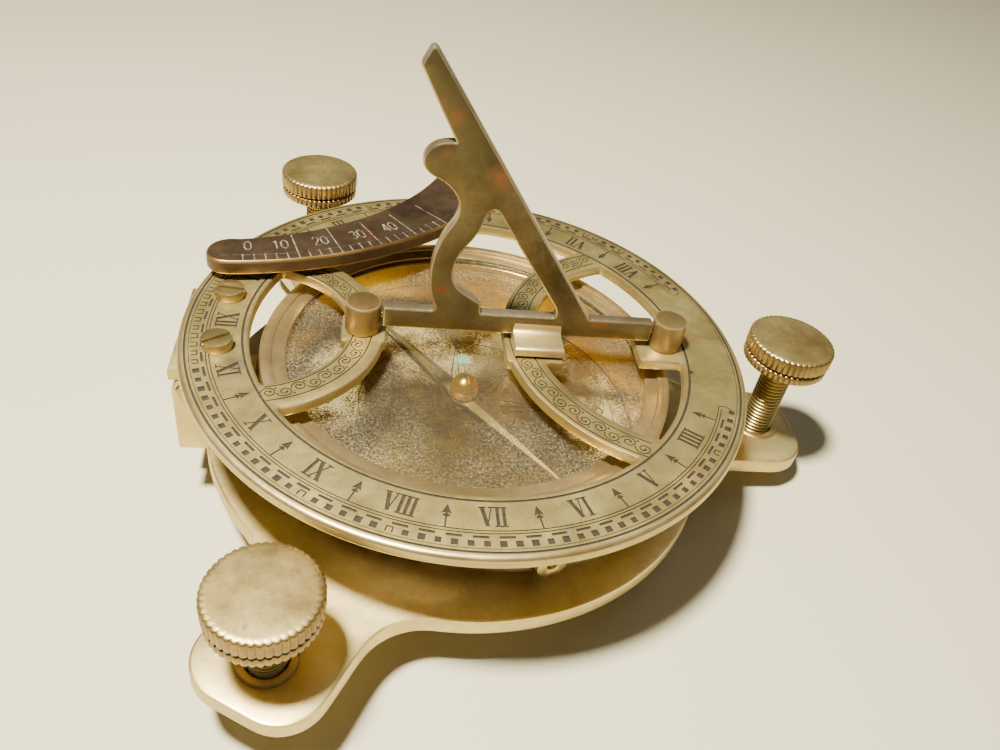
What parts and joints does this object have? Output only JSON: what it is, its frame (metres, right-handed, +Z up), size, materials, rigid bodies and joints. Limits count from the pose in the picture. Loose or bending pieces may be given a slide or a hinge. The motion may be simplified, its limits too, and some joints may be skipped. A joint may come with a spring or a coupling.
{
  "type": "pocket sundial",
  "caption": "Brass sundial with a folding gnomon, an hour ring hinged over a glazed compass box, a hinged latitude arc and a base plate on levelling screws.",
  "frame": {"origin": "centre of the base plate's underside", "axes": "+Z up; +X along the noon line from the XII and the dial hinge towards the low end of the gnomon; +Y towards the latitude arc"},
  "size_m": [0.1195, 0.1254, 0.0835],
  "materials": {
    "dial_brass": "worn, dull",
    "plate_brass": "worn satin",
    "screw_brass": "satin",
    "box_brass": "polished",
    "arc_bronze": "dark patina",
    "needle_steel": "lacquered",
    "glass": "dusty"
  },
  "bodies": {
    "base": {"base_plate": "plate_brass", "screw_bush_a": "screw_brass", "screw_bush_b": "screw_brass", "screw_bush_c": "screw_brass", "compass_box": "box_brass", "box_screw_1": "screw_brass", "box_screw_2": "screw_brass", "box_screw_3": "screw_brass", "side_stud": "screw_brass", "compass_card": "box_brass", "needle_pivot": "needle_steel", "compass_glass": "glass", "bezel_ring": "plate_brass", "hinge_bracket": "plate_brass", "bracket_screw_1": "screw_brass", "bracket_screw_2": "screw_brass", "hinge_pin": "screw_brass"},
    "dial": {"dial_ring": "dial_brass", "hinge_leaf": "dial_brass", "leaf_screw_1": "screw_brass", "leaf_screw_2": "screw_brass", "post_left": "dial_brass", "post_right": "dial_brass", "pivot_pin_left": "screw_brass", "pivot_pin_right": "screw_brass", "arc_bracket": "arc_bronze", "arc_screw_1": "screw_brass", "arc_screw_2": "screw_brass", "arc_pin": "screw_brass"},
    "gnomon": {"gnomon": "dial_brass"},
    "arc": {"latitude_arc": "arc_bronze"},
    "needle": {"compass_needle": "needle_steel", "needle_cap": "screw_brass"},
    "shaft_a": {"screw_shaft_a": "screw_brass"},
    "knob_a": {"screw_knob_a": "screw_brass"},
    "shaft_b": {"screw_shaft_b": "screw_brass"},
    "knob_b": {"screw_knob_b": "screw_brass"},
    "shaft_c": {"screw_shaft_c": "screw_brass"},
    "knob_c": {"screw_knob_c": "screw_brass"}
  },
  "joints": [
    {"name": "ring_hinge", "type": "hinge", "parent": "base", "child": "dial", "pos_m": [-0.0483, 0, 0.0166], "axis": [0, -1, 0], "range_deg": [0, 75]},
    {"name": "gnomon_fold", "type": "hinge", "parent": "dial", "child": "gnomon", "pos_m": [0, 0, 0.0257], "axis": [-1, 0, 0], "range_deg": [0, 84]},
    {"name": "arc_swing", "type": "hinge", "parent": "dial", "child": "arc", "pos_m": [0, 0.0529, 0.0209], "axis": [-1, 0, 0], "range_deg": [0, 90]},
    {"name": "needle_turn", "type": "hinge", "parent": "base", "child": "needle", "pos_m": [0, 0, 0.008], "axis": [0, 0, 1], "continuous": true},
    {"name": "screw_a_rise", "type": "slide", "parent": "base", "child": "shaft_a", "axis": [0, 0, 1], "range_m": [-0.0097, 0.0073]},
    {"name": "knob_a_turn", "type": "hinge", "parent": "shaft_a", "child": "knob_a", "pos_m": [-0.0305, -0.05283, 0], "axis": [0, 0, 1], "range_deg": [-4320, 3240]},
    {"name": "screw_b_rise", "type": "slide", "parent": "base", "child": "shaft_b", "axis": [0, 0, 1], "range_m": [-0.0153, 0.0033]},
    {"name": "knob_b_turn", "type": "hinge", "parent": "shaft_b", "child": "knob_b", "pos_m": [0.061, 0, 0], "axis": [0, 0, 1], "range_deg": [-6840, 1440]},
    {"name": "screw_c_rise", "type": "slide", "parent": "base", "child": "shaft_c", "axis": [0, 0, 1], "range_m": [-0.0153, 0.0033]},
    {"name": "knob_c_turn", "type": "hinge", "parent": "shaft_c", "child": "knob_c", "pos_m": [-0.0305, 0.05283, 0], "axis": [0, 0, 1], "range_deg": [-6840, 1440]}
  ],
  "couplings": [
    {"joint": "screw_a_rise", "follows": "knob_a_turn", "m_per_rad": 0.00012732},
    {"joint": "screw_b_rise", "follows": "knob_b_turn", "m_per_rad": 0.00012732},
    {"joint": "screw_c_rise", "follows": "knob_c_turn", "m_per_rad": 0.00012732}
  ]
}
